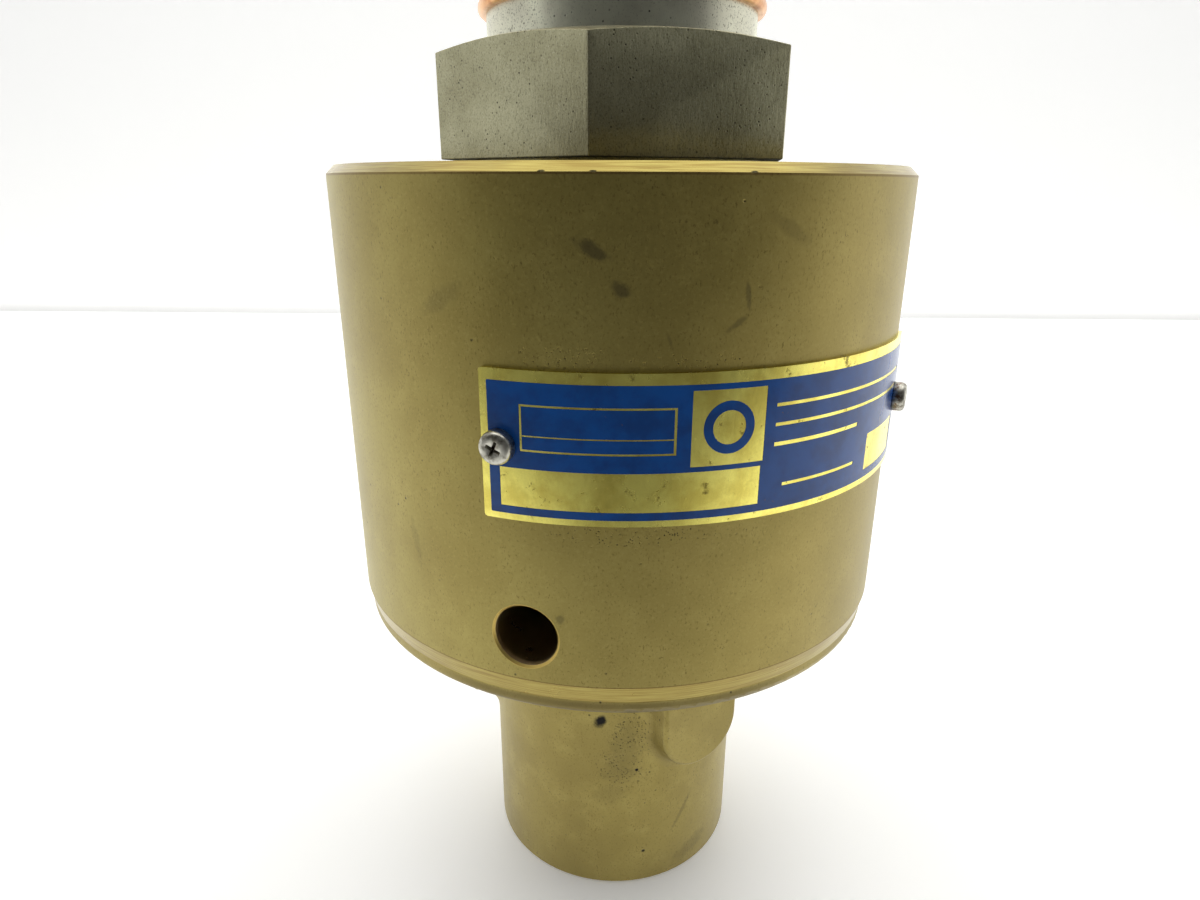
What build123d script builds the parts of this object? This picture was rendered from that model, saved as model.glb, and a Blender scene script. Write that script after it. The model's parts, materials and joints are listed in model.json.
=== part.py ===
from build123d import *
import math
import os

# Hydraulic rotary union, in millimetres. Z runs up the turning axis from the centre of the stub's end face.
# An azimuth is in degrees from -Y towards +X, so azimuth 0 is the front and 90 the right-hand side.

clearance = 0.1

# Driving dimensions of the cast housing
body_radius = 50.0
body_top = 139.1
body_low = 65.4
top_chamfer = 1.3
band_radius = 49.3
band_low = 62.5
lip_corner = 60.2
lip_round = 1.5
shoulder_radius = 39.0
stub_radius = 25.65
neck_top = 44.0
neck_fillet = 4.0
stub_edge = 0.5

# Cast ribs with a flat face, spaced evenly round the neck
rib_count = 3
rib_azimuth = 33.0
rib_face = 30.6
rib_half_width = 8.5
rib_end_height = 39.5
rib_top = 56.0
rib_fillet = 4.0
rib_edge = 0.8

# Leak hole into the seal chamber
leak_azimuth = -15.4
leak_height = 72.9
leak_radius = 5.0
leak_chamfer = 0.35

# Bores of the housing: inlet thread, seal carrier guide, spring pocket, seal chamber, bearings
inlet_radius = 16.62
inlet_depth = 20.0
passage_start = 22.4
passage_radius = 12.5
guide_radius = 17.0
guide_floor = 30.0
pocket_radius = 26.0
pocket_floor = 48.0
chamber_radius = 35.0
chamber_floor = 62.0
bearing_seat = 79.0
mouth_chamfer = 1.0

# Tapered roller bearings 40 x 80 x 18, back to back, and what keeps them apart and in place
bearing_bore = 20.0
bearing_radius = 40.0
bearing_width = 18.0
bearing_gap = 9.0
pitch_radius = 30.0
pitch_angle = 13.0
roller_radius = 5.4
roller_length = 11.6
roller_count = 14
ring_chamfer = 1.1
large_rib_height = 2.6
large_rib_width = 1.9
small_rib_height = 1.0
small_rib_width = 2.8
cage_thickness = 1.8
cage_ends = (-8.0, 7.6)
window_width = 11.3
window_length = 12.2
spacer_wall = 4.0
spacer_edge = 0.4

# Circlips that hold the bearings
clip_gap = 9.0
bore_clip_width = 2.5
bore_clip_groove = 1.75
bore_clip_inner = 36.0
bore_clip_eye = 3.4
bore_clip_hole = 1.25
shaft_clip_width = 1.75
shaft_clip_groove = 1.25
shaft_clip_outer = 22.8
shaft_clip_eye = 2.4
shaft_clip_hole = 1.0

# Rotor: threaded end, collar, hexagon, seal land, bearing seat
rotor_top = 184.6
thread_radius = 20.955
thread_relief = 19.3
relief_length = 3.0
relief_slope = 1.0
thread_chamfer = 1.5
collar_radius = 22.65
collar_top = 162.6
hex_flats = 55.0
hex_azimuth = -8.0
hex_low = 140.1
hex_top = 157.1
hex_chamfer_radius = 27.2
hex_chamfer_angle = 15.0
seal_land_radius = 25.0
rotor_low = 70.0
nose_radius = 18.0
nose_top = 73.5
washer_radius = 24.0
washer_bore = 21.1
washer_height = 2.0
washer_round = 0.6

# Face seal: turning ring in the rotor, floating carrier with its carbon ring, spring and pins
seal_face = 68.5
face_gap = 0.05
turning_ring_seat = 75.0
turning_ring_radius = 16.0
turning_ring_groove = 14.5
turning_groove_ends = (71.6, 73.6)
ring_edge = 0.3
face_ring_bore = 12.8
carrier_low = 32.0
carrier_radius = 16.92
carrier_edge = 0.8
carrier_groove = 14.6
carrier_groove_low = 38.6
carrier_groove_top = 42.0
carrier_ring_play = 0.03
flange_low = 60.0
flange_top = 65.5
flange_radius = 25.5
carbon_seat = 60.5
carbon_radius = 17.0
nose_inner = 14.0
nose_outer = 15.6
nose_height = 1.6
spring_radius = 20.0
wire_radius = 1.0
spring_turns = 3.0
pin_circle = 23.8
pin_radius = 1.5
pin_low = 42.0
pin_top = 64.5
pin_azimuths = (60.0, 240.0)
notch_half_width = 1.7
notch_depth = 3.6

# Shaft seal 50 x 80 x 8 above the bearings
shaft_seal_low = 128.0
shaft_seal_height = 8.0
seal_web = 2.6
seal_rim_radius = 37.6
dust_lip_radius = 27.2
lip_root_radius = 26.4
garter_radius = 27.9
garter_height = 130.0
garter_wire = 0.85

# Nameplate round the body, with its two screws
plate_from = -21.5
plate_to = 70.0
plate_low = 92.0
plate_top = 113.5
plate_thickness = 0.6
plate_corner = 1.5
screw_azimuths = (-18.4, 67.0)
screw_height = 102.8
screw_head_radius = 2.45
screw_head_height = 2.0
screw_shank_radius = 1.25
screw_depth = 5.0
screw_crown = 1.5

lower_bearing = bearing_seat + bearing_width / 2
upper_bearing = lower_bearing + bearing_width + bearing_gap
bearings_top = upper_bearing + bearing_width / 2
parts = {}


def turned(*outline):
    """Solid of revolution about Z from (radius, height) points."""
    face = make_face(Polyline(*[(r, 0, z) for r, z in outline], close=True))
    return revolve(face, Axis.Z)


def sleeve(inner, outer, low, high, edge=0.0):
    """Plain ring between two radii, with its four edges chamfered by edge."""
    if not edge:
        return turned((inner, low), (outer, low), (outer, high), (inner, high))
    return turned(
        (inner + edge, low), (outer - edge, low), (outer, low + edge), (outer, high - edge),
        (outer - edge, high), (inner + edge, high), (inner, high - edge), (inner, low + edge),
    )


def outward(azimuth, height, distance=0.0):
    """Plane that faces outward at an azimuth, with its y direction up."""
    a = math.radians(azimuth)
    ahead = Vector(math.sin(a), -math.cos(a), 0)
    return Plane(ahead * distance + Vector(0, 0, height), x_dir=(math.cos(a), math.sin(a), 0), z_dir=ahead)


def radial_hole(azimuth, height, radius, start, end):
    """Round cutter that runs outward from one distance to another."""
    bar = Cylinder(radius, end - start, align=(Align.CENTER, Align.CENTER, Align.MIN))
    return outward(azimuth, height, start) * bar


def around(azimuth, shape):
    """The shape turned about Z to an azimuth."""
    return shape.rotate(Axis.Z, azimuth)


def housing_outside():
    with BuildSketch(Plane.XZ) as section:
        with BuildLine():
            Polyline(
                (0, 0), (stub_radius - stub_edge, 0), (stub_radius, stub_edge),
                (stub_radius, neck_top), (shoulder_radius, neck_top + shoulder_radius - stub_radius),
                (band_radius, lip_corner),
                (band_radius, band_low), (body_radius, body_low), (body_radius, body_top - top_chamfer),
                (body_radius - top_chamfer, body_top), (0, body_top), close=True,
            )
        make_face()
        neck = section.vertices().sort_by_distance((stub_radius, neck_top))[0]
        fillet(neck, neck_fillet)
        lip = section.vertices().sort_by_distance((band_radius, lip_corner))[0]
        fillet(lip, lip_round)
    return revolve(section.sketch, Axis.Z)


def housing_rib():
    """Upright rib with a round lower end and a flat face, rounded along the face's edge."""
    start = 12.0
    outline = Circle(rib_half_width)
    length = rib_top - rib_end_height
    outline += Pos(0, length / 2) * Rectangle(2 * rib_half_width, length)
    rib = extrude(outward(rib_azimuth, rib_end_height, start) * outline, rib_face - start)
    front = outward(rib_azimuth, rib_end_height, rib_face)
    face = rib.faces().sort_by_distance(front.origin)[0]
    return fillet([e for e in face.edges() if e.center().Z < rib_top - 1], rib_edge)


def make_housing():
    body = housing_outside()
    rib = housing_rib()
    ribs = [around(n * 360 / rib_count, rib) for n in range(rib_count)]
    cast = body + ribs
    seams = [e for e in new_edges(body, *ribs, combined=cast) if e.center().Z < rib_top]
    cast = fillet(seams, rib_fillet)
    clip_top = bearings_top + bore_clip_width + clearance
    cast -= turned(
        (0, -1), (inlet_radius + mouth_chamfer, -1), (inlet_radius + mouth_chamfer, 0),
        (inlet_radius, mouth_chamfer), (inlet_radius, inlet_depth), (passage_radius, passage_start),
        (passage_radius, guide_floor), (guide_radius, guide_floor), (guide_radius, pocket_floor),
        (pocket_radius, pocket_floor), (pocket_radius, chamber_floor), (chamber_radius, chamber_floor),
        (chamber_radius, bearing_seat), (bearing_radius, bearing_seat), (bearing_radius, bearings_top),
        (bearing_radius + bore_clip_groove, bearings_top), (bearing_radius + bore_clip_groove, clip_top),
        (bearing_radius, clip_top), (bearing_radius, body_top - mouth_chamfer),
        (bearing_radius + mouth_chamfer, body_top), (bearing_radius + mouth_chamfer, body_top + 1),
        (0, body_top + 1),
    )
    beyond_body = body_radius + 5
    cast -= radial_hole(leak_azimuth, leak_height, leak_radius, chamber_radius - 5, beyond_body)
    mouth = outward(leak_azimuth, leak_height, body_radius).origin
    rim = [e for e in cast.edges() if (e.center(CenterOf.BOUNDING_BOX) - mouth).length < 1.5]
    cast = chamfer(rim, leak_chamfer)
    screw_bottom = body_radius - screw_depth
    for azimuth in screw_azimuths:
        cast -= radial_hole(azimuth, screw_height, screw_shank_radius, screw_bottom, beyond_body)
    for azimuth in pin_azimuths:
        cast -= around(azimuth, Pos(0, -pin_circle, pin_low) * Cylinder(
            pin_radius, pocket_floor - pin_low + 1, align=(Align.CENTER, Align.CENTER, Align.MIN)))
    return cast


def make_hexagon():
    """Hexagon turned off in a shallow cone on top."""
    corner = hex_flats / 2 / math.cos(math.radians(30))
    block = extrude(Pos(0, 0, hex_low) * RegularPolygon(corner, 6), hex_top - hex_low)
    drop = (corner - hex_chamfer_radius) * math.tan(math.radians(hex_chamfer_angle))
    envelope = turned(
        (0, hex_low), (corner, hex_low), (corner, hex_top - drop), (hex_chamfer_radius, hex_top), (0, hex_top),
    )
    return around(hex_azimuth - 30, block & envelope)


def make_rotor():
    groove_low = bearing_seat - shaft_clip_width - clearance
    groove_floor = bearing_bore - shaft_clip_groove
    core = turned(
        (0, rotor_low), (nose_radius, rotor_low), (nose_radius, nose_top), (bearing_bore, nose_top + 1),
        (bearing_bore, groove_low), (groove_floor, groove_low), (groove_floor, bearing_seat),
        (bearing_bore, bearing_seat), (bearing_bore, bearings_top), (seal_land_radius, bearings_top),
        (seal_land_radius, hex_low), (collar_radius, hex_low), (collar_radius, collar_top),
        (thread_relief, collar_top), (thread_relief, collar_top + relief_length - relief_slope),
        (thread_radius, collar_top + relief_length), (thread_radius, rotor_top - thread_chamfer),
        (thread_radius - thread_chamfer, rotor_top), (0, rotor_top),
    )
    bore = turned(
        (0, rotor_low - 1), (turning_ring_radius, rotor_low - 1), (turning_ring_radius, turning_ring_seat),
        (passage_radius, turning_ring_seat), (passage_radius, rotor_top - mouth_chamfer),
        (passage_radius + mouth_chamfer, rotor_top), (passage_radius + mouth_chamfer, rotor_top + 1),
        (0, rotor_top + 1),
    )
    return core + make_hexagon() - bore


def make_copper_washer():
    return sleeve(washer_bore, washer_radius, collar_top, collar_top + washer_height, washer_round)


class RollerBearing:
    """Tapered roller bearing about Z. Its rollers' large ends point up (up = 1) or down (up = -1)."""

    def __init__(self, middle, up):
        self.middle = middle
        self.up = up
        lean = math.radians(pitch_angle)
        self.taper = math.atan(roller_radius * math.sin(lean) / pitch_radius)
        self.apex = pitch_radius / math.tan(lean)
        self.slope = math.tan(lean)
        self.inner_slope = math.tan(lean - self.taper)
        self.outer_slope = math.tan(lean + self.taper)

    def ring(self, *outline):
        """Ring from (radius, distance from the middle towards the large ends) points."""
        return turned(*[(r, self.middle + self.up * w) for r, w in outline])

    def inner_race(self, w):
        return (self.apex + w) * self.inner_slope

    def outer_race(self, w):
        return (self.apex + w) * self.outer_slope

    def inner_ring(self):
        half, bore = bearing_width / 2, bearing_bore
        large, small = half - large_rib_width, small_rib_width - half
        large_rib = self.inner_race(large) + large_rib_height
        small_rib = self.inner_race(small) + small_rib_height
        return self.ring(
            (bore, ring_chamfer - half), (bore + ring_chamfer, -half), (small_rib, -half),
            (small_rib, small), (self.inner_race(small), small), (self.inner_race(large), large),
            (large_rib, large), (large_rib, half), (bore + ring_chamfer, half), (bore, half - ring_chamfer),
        )

    def outer_ring(self):
        half = bearing_width / 2
        return self.ring(
            (self.outer_race(-half), -half), (bearing_radius - ring_chamfer, -half),
            (bearing_radius, ring_chamfer - half), (bearing_radius, half), (self.outer_race(half), half),
        )

    def roller_plane(self):
        """Plane across the front roller at its middle, whose normal runs to the large end."""
        a = math.radians(pitch_angle)
        along = (0, -math.sin(a), self.up * math.cos(a))
        return Plane((0, -pitch_radius, self.middle), x_dir=(1, 0, 0), z_dir=along)

    def rollers(self):
        spread = roller_length / 2 * math.tan(self.taper)
        mean = roller_radius - clearance
        roller = self.roller_plane() * Cone(mean - spread, mean + spread, roller_length)
        return Compound([around(n * 360 / roller_count, roller) for n in range(roller_count)])

    def cage(self):
        half = cage_thickness / 2
        small, large = [(self.apex + w) * self.slope for w in cage_ends]
        cone = self.ring(
            (small - half, cage_ends[0]), (small + half, cage_ends[0]),
            (large + half, cage_ends[1]), (large - half, cage_ends[1]),
        )
        window = self.roller_plane() * Box(window_width, 4 * cage_thickness, window_length)
        for n in range(roller_count):
            cone -= around(n * 360 / roller_count, window)
        return cone


def circlip(band, ends, side, eye_circle, eye_radius, hole_radius):
    """Circlip between two radii and two heights, open at the front (side -1) or the back (side 1)."""
    height = ends[1] - ends[0]
    reach = 2 * band[1]
    spread = reach * math.tan(math.radians(clip_gap))
    wedge = make_face(Polyline((0, 0), (-spread, side * reach), (spread, side * reach), close=True))
    ring = sleeve(*band, *ends) - Pos(0, 0, ends[0]) * extrude(wedge, height)
    turn = clip_gap + math.degrees(eye_radius / eye_circle)
    spot = Pos(0, side * eye_circle, ends[0] + height / 2)
    for azimuth in (-turn, turn):
        ring += around(azimuth, spot * Cylinder(eye_radius, height))
        ring -= around(azimuth, spot * Cylinder(hole_radius, height))
    return ring


def make_bore_circlip():
    """Circlip for the housing bore, above the bearings."""
    band = (bore_clip_inner, bearing_radius + bore_clip_groove - clearance)
    ends = (bearings_top, bearings_top + bore_clip_width)
    return circlip(band, ends, -1, bore_clip_inner, bore_clip_eye, bore_clip_hole)


def make_shaft_circlip():
    """Circlip on the rotor, under the lower bearing."""
    band = (bearing_bore - shaft_clip_groove, shaft_clip_outer)
    ends = (bearing_seat - shaft_clip_width, bearing_seat)
    return circlip(band, ends, 1, shaft_clip_outer, shaft_clip_eye, shaft_clip_hole)


def make_shaft_seal():
    """Rubber shaft seal: a lip just clear of the rotor's seal land, and a groove for the garter spring."""
    low, high = shaft_seal_low, shaft_seal_low + shaft_seal_height
    lip = seal_land_radius + clearance
    groove_inner, groove_outer = garter_radius - garter_wire, garter_radius + garter_wire
    groove_low, groove_high = garter_height - garter_wire, garter_height + garter_wire
    return turned(
        (bearing_radius, low), (bearing_radius, high), (dust_lip_radius, high),
        (lip_root_radius, high - seal_web), (lip, garter_height), (lip_root_radius, low + clearance),
        (garter_radius, low + clearance), (garter_radius, groove_low), (groove_inner, groove_low),
        (groove_inner, groove_high), (groove_outer, groove_high), (groove_outer, high - seal_web),
        (seal_rim_radius, high - seal_web), (seal_rim_radius, low),
    )


def round_ring(inner, outer, low, high):
    """Ring of about round section, such as an O-ring, drawn with eight sides."""
    return sleeve(inner, outer, low, high, min(outer - inner, high - low) / (2 + math.sqrt(2)))


def make_garter_spring():
    inner, outer = garter_radius - garter_wire, garter_radius + garter_wire
    return round_ring(inner, outer, garter_height - garter_wire, garter_height + garter_wire)


def make_turning_ring():
    """Hard ring that turns with the rotor, with a groove for its O-ring."""
    ring = sleeve(face_ring_bore, turning_ring_radius, seal_face, turning_ring_seat, ring_edge)
    return ring - sleeve(turning_ring_groove, turning_ring_radius, *turning_groove_ends)


def make_carrier():
    """Floating carrier: a stem in the guide bore, and a notched flange that holds the carbon ring."""
    stem = turned(
        (passage_radius, carrier_low), (carrier_radius - carrier_edge, carrier_low),
        (carrier_radius, carrier_low + carrier_edge), (carrier_radius, carrier_groove_low),
        (carrier_groove, carrier_groove_low), (carrier_groove, carrier_groove_top),
        (carrier_radius, carrier_groove_top), (carrier_radius, flange_low), (flange_radius, flange_low),
        (flange_radius, flange_top), (carbon_radius, flange_top), (carbon_radius, carbon_seat),
        (passage_radius, carbon_seat),
    )
    notch = Box(2 * notch_half_width, 2 * notch_depth, 2 * (flange_top - flange_low))
    for azimuth in pin_azimuths:
        stem -= around(azimuth, Pos(0, -flange_radius, flange_low) * notch)
    return stem


def make_carbon_ring():
    top = seal_face - face_gap
    return turned(
        (face_ring_bore, carbon_seat), (carbon_radius, carbon_seat), (carbon_radius, top - nose_height),
        (nose_outer, top - nose_height), (nose_outer, top), (nose_inner, top),
        (nose_inner, top - nose_height), (face_ring_bore, top - nose_height),
    )


def make_spring():
    """Coil spring of square wire between the pocket's floor and the carrier's flange."""
    rise = flange_low - pocket_floor - 2 * wire_radius
    path = Helix(rise / spring_turns, rise, spring_radius, center=(0, 0, pocket_floor + wire_radius))
    start = Plane(path @ 0, x_dir=(1, 0, 0), z_dir=path % 0)
    wire = start * Rectangle(2 * wire_radius, 2 * wire_radius - clearance)
    return sweep(wire, path, is_frenet=True)


def make_pins():
    pin = Pos(0, -pin_circle, pin_low) * Cylinder(
        pin_radius, pin_top - pin_low, align=(Align.CENTER, Align.CENTER, Align.MIN))
    return [around(azimuth, pin) for azimuth in pin_azimuths]


def make_nameplate():
    blank = Rectangle(plate_thickness, plate_top - plate_low, align=(Align.MIN, Align.MIN))
    section = Plane.XZ * Pos(body_radius, plate_low) * blank
    plate = revolve(section, Axis.Z, plate_to - plate_from)
    corners = [e for e in plate.edges() if e.length < 2 * plate_thickness]
    plate = around(plate_from - 90, fillet(corners, plate_corner))
    for azimuth in screw_azimuths:
        hole_radius = screw_shank_radius + clearance
        plate -= radial_hole(azimuth, screw_height, hole_radius, body_radius - 2, body_radius + 4)
    return plate


def make_screw(azimuth):
    """Pan-head screw, seated on the plate."""
    rim = screw_head_height / 2
    head = turned(
        (0, 0), (screw_head_radius, 0), (screw_head_radius, rim), (screw_crown, screw_head_height),
        (0, screw_head_height),
    )
    length = screw_depth + plate_thickness - clearance
    shank = Cylinder(screw_shank_radius, length, align=(Align.CENTER, Align.CENTER, Align.MAX))
    return outward(azimuth, screw_height, body_radius + plate_thickness) * (head + shank)


parts["housing"] = make_housing()
parts["rotor"] = make_rotor()
parts["copper_washer"] = make_copper_washer()
for place, middle, up in (("lower", lower_bearing, -1), ("upper", upper_bearing, 1)):
    bearing = RollerBearing(middle, up)
    parts[place + "_bearing_inner_ring"] = bearing.inner_ring()
    parts[place + "_bearing_outer_ring"] = bearing.outer_ring()
    parts[place + "_bearing_rollers"] = bearing.rollers()
    parts[place + "_bearing_cage"] = bearing.cage()
between = (bearing_seat + bearing_width, bearings_top - bearing_width)
parts["outer_spacer"] = sleeve(bearing_radius - spacer_wall, bearing_radius, *between, spacer_edge)
parts["inner_spacer"] = sleeve(bearing_bore, bearing_bore + spacer_wall, *between, spacer_edge)
parts["bore_circlip"] = make_bore_circlip()
parts["shaft_circlip"] = make_shaft_circlip()
parts["shaft_seal"] = make_shaft_seal()
parts["garter_spring"] = make_garter_spring()
parts["turning_seal_ring"] = make_turning_ring()
parts["turning_ring_o_ring"] = round_ring(turning_ring_groove, turning_ring_radius, *turning_groove_ends)
parts["seal_carrier"] = make_carrier()
parts["carbon_seal_ring"] = make_carbon_ring()
carrier_ring_ends = (carrier_groove_low + clearance, carrier_groove_top - clearance)
parts["carrier_o_ring"] = round_ring(carrier_groove, guide_radius - carrier_ring_play, *carrier_ring_ends)
parts["seal_spring"] = make_spring()
parts["lock_pins"] = Compound(make_pins())
parts["nameplate"] = make_nameplate()
parts["plate_screws"] = Compound([make_screw(azimuth) for azimuth in screw_azimuths])

os.makedirs("parts", exist_ok=True)
for name, shape in parts.items():
    export_step(shape, f"parts/{name}.step")
    print(name, round(shape.volume))
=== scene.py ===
import json
import math

import bpy
from mathutils import Matrix, Vector


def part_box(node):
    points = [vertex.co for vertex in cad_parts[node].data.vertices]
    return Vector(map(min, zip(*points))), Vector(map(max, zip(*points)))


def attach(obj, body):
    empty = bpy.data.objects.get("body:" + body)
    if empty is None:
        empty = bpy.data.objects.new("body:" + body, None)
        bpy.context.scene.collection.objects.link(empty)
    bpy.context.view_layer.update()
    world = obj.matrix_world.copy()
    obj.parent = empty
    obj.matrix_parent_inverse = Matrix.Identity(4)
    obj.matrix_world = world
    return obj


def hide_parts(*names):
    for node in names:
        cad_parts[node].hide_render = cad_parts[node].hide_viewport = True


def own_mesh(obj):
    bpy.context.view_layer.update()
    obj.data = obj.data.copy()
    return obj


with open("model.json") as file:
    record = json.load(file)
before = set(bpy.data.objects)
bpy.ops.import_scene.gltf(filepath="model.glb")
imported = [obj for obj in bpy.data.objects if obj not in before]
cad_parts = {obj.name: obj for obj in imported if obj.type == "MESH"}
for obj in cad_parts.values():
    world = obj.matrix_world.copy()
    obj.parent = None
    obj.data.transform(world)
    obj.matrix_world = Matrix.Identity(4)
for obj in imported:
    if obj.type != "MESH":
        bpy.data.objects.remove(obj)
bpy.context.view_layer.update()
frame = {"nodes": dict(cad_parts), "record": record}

scene = bpy.context.scene
mm = 0.001
weldGap = 0.002 * mm                                   # points closer than this are one
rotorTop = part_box("rotor")[1].z
plateLow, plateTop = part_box("nameplate")[0].z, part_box("nameplate")[1].z
plateFace = -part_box("nameplate")[0].y                  # radius of the plate's front
washerLow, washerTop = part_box("copper_washer")[0].z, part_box("copper_washer")[1].z
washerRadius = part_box("copper_washer")[1].x


# Helpers for modelling

def startFresh():
    if bpy.context.object and bpy.context.object.mode != "OBJECT":
        bpy.ops.object.mode_set(mode="OBJECT")
    bpy.ops.object.select_all(action="DESELECT")


def makeActive(piece):
    startFresh()
    piece.select_set(True)
    bpy.context.view_layer.objects.active = piece


def newest(name):                                      # names the new primitive and applies its place
    piece = bpy.context.object
    piece.name = name
    bpy.ops.object.transform_apply(location=True, rotation=True, scale=True)
    return piece


def editAll(piece, kind="VERT"):
    makeActive(piece)
    bpy.ops.object.mode_set(mode="EDIT")
    bpy.ops.mesh.select_mode(type=kind)
    bpy.ops.mesh.select_all(action="SELECT")


def pick(piece, kind, test):                           # enters edit mode, what passes the test selected
    makeActive(piece)
    bpy.context.tool_settings.mesh_select_mode = (kind == "VERT", kind == "EDGE", kind == "FACE")
    mesh = piece.data
    for parts in (mesh.vertices, mesh.edges, mesh.polygons):
        parts.foreach_set("select", [False] * len(parts))
    for vertex in mesh.vertices if kind == "VERT" else ():
        vertex.select = test(vertex.co)
    for edge in mesh.edges if kind == "EDGE" else ():
        ends = [mesh.vertices[i] for i in edge.vertices]
        edge.select = test(ends[0].co, ends[1].co)
        for end in ends:
            end.select = end.select or edge.select
    for face in mesh.polygons if kind == "FACE" else ():
        face.select = test(face.center, face.normal)
    bpy.ops.object.mode_set(mode="EDIT")


def tidySurface(piece, angle=32):
    editAll(piece)
    bpy.ops.mesh.remove_doubles(threshold=weldGap)
    bpy.ops.mesh.normals_make_consistent(inside=False)
    bpy.ops.object.mode_set(mode="OBJECT")
    bpy.ops.object.shade_smooth_by_angle(angle=math.radians(angle))


def cutWith(piece, cutter, operation="DIFFERENCE"):
    makeActive(piece)
    cut = piece.modifiers.new("cut", "BOOLEAN")
    cut.operation = operation
    cut.solver = "EXACT"
    cut.object = cutter
    bpy.ops.object.modifier_apply(modifier=cut.name)
    bpy.data.objects.remove(cutter)


def drawOutline(name, points):                         # edges through (radius, height) points
    startFresh()
    first = points[0]
    bpy.ops.mesh.primitive_plane_add(size=mm, location=(first[0], 0, first[1]))
    outline = newest(name)
    editAll(outline)
    bpy.ops.mesh.merge(type="CENTER")
    for before, after in zip(points, points[1:]):
        step = (after[0] - before[0], 0, after[1] - before[1])
        bpy.ops.mesh.extrude_region_move(TRANSFORM_OT_translate={"value": step})
    bpy.ops.object.mode_set(mode="OBJECT")
    return outline


def turnOutline(name, points, steps=128):              # a closed outline turned once round Z
    ring = drawOutline(name, list(points) + [points[0]])
    editAll(ring)
    bpy.ops.mesh.spin(steps=steps, angle=math.tau, center=(0, 0, 0), axis=(0, 0, 1))
    bpy.ops.object.mode_set(mode="OBJECT")
    tidySurface(ring)
    return ring


def threadSolid(name, crest, root, low, high, pitch, steps=80):
    flat = 0.09 * pitch                                # half width of the flats on crest and root
    points = [(root, 0), (root, flat), (crest, pitch / 2 - flat), (crest, pitch / 2 + flat),
              (root, pitch - flat), (root, pitch)]
    start = low - 2 * pitch
    thread = drawOutline(name, [(radius, start + height) for radius, height in points])
    makeActive(thread)
    screw = thread.modifiers.new("thread", "SCREW")
    screw.steps = steps
    screw.render_steps = steps
    screw.iterations = math.ceil((high - low) / pitch) + 3
    screw.screw_offset = pitch
    screw.use_merge_vertices = True
    screw.merge_threshold = weldGap
    bpy.ops.object.modifier_apply(modifier=screw.name)
    tidySurface(thread)
    for height, above in ((low, False), (high, True)):
        editAll(thread)
        bpy.ops.mesh.bisect(plane_co=(0, 0, height), plane_no=(0, 0, 1), use_fill=True,
                            clear_inner=not above, clear_outer=above)
        bpy.ops.object.mode_set(mode="OBJECT")
    tidySurface(thread)
    return thread


def bendRoundBody(piece):                              # wraps a flat upright sheet round Z
    for vertex in piece.data.vertices:
        radius, angle = -vertex.co.y, vertex.co.x / plateFace
        vertex.co.x = radius * math.sin(angle)
        vertex.co.y = -radius * math.cos(angle)


def standRound(piece, azimuth):                        # turns a piece made at the front to its azimuth
    piece.data.transform(Matrix.Rotation(math.radians(azimuth), 4, "Z"))


# Helpers for the finishes

def colour(red, green, blue):                          # from a screen colour, 0 to 255
    parts = [part / 255 for part in (red, green, blue)]
    return [part / 12.92 if part <= 0.04045 else ((part + 0.055) / 1.055) ** 2.4 for part in parts] + [1]


class Nodes:                                           # fills a node tree, value by value
    def __init__(self, tree):
        self.tree = tree

    def node(self, kind, inputs=None, **settings):
        made = self.tree.nodes.new("ShaderNode" + kind)
        for key, value in settings.items():
            setattr(made, key, value)
        for key, value in (inputs or {}).items():
            if isinstance(value, bpy.types.NodeSocket):
                self.tree.links.new(value, made.inputs[key])
            else:
                made.inputs[key].default_value = value
        return made

    def math(self, operation, first, second=0.0, third=0.0):
        return self.node("Math", {0: first, 1: second, 2: third}, operation=operation).outputs[0]

    def times(self, first, second):
        return self.math("MULTIPLY", first, second)

    def timesPlus(self, first, second, added):
        return self.math("MULTIPLY_ADD", first, second, added)

    def minus(self, first, second):
        return self.math("SUBTRACT", first, second)

    def larger(self, first, second):
        return self.math("MAXIMUM", first, second)

    def length(self, first, second):
        return self.math("SQRT", self.timesPlus(first, first, self.times(second, second)))

    def ramp(self, value, low, high, start=0.0, end=1.0):
        inputs = {0: value, 1: low, 2: high, 3: start, 4: end}
        return self.node("MapRange", inputs, interpolation_type="SMOOTHSTEP").outputs[0]

    def mix(self, share, first, second):
        return self.node("Mix", {0: share, 6: first, 7: second}, data_type="RGBA").outputs[2]

    def blendValue(self, share, first, second):
        return self.node("Mix", {0: share, 2: first, 3: second}, data_type="FLOAT").outputs[0]


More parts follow.
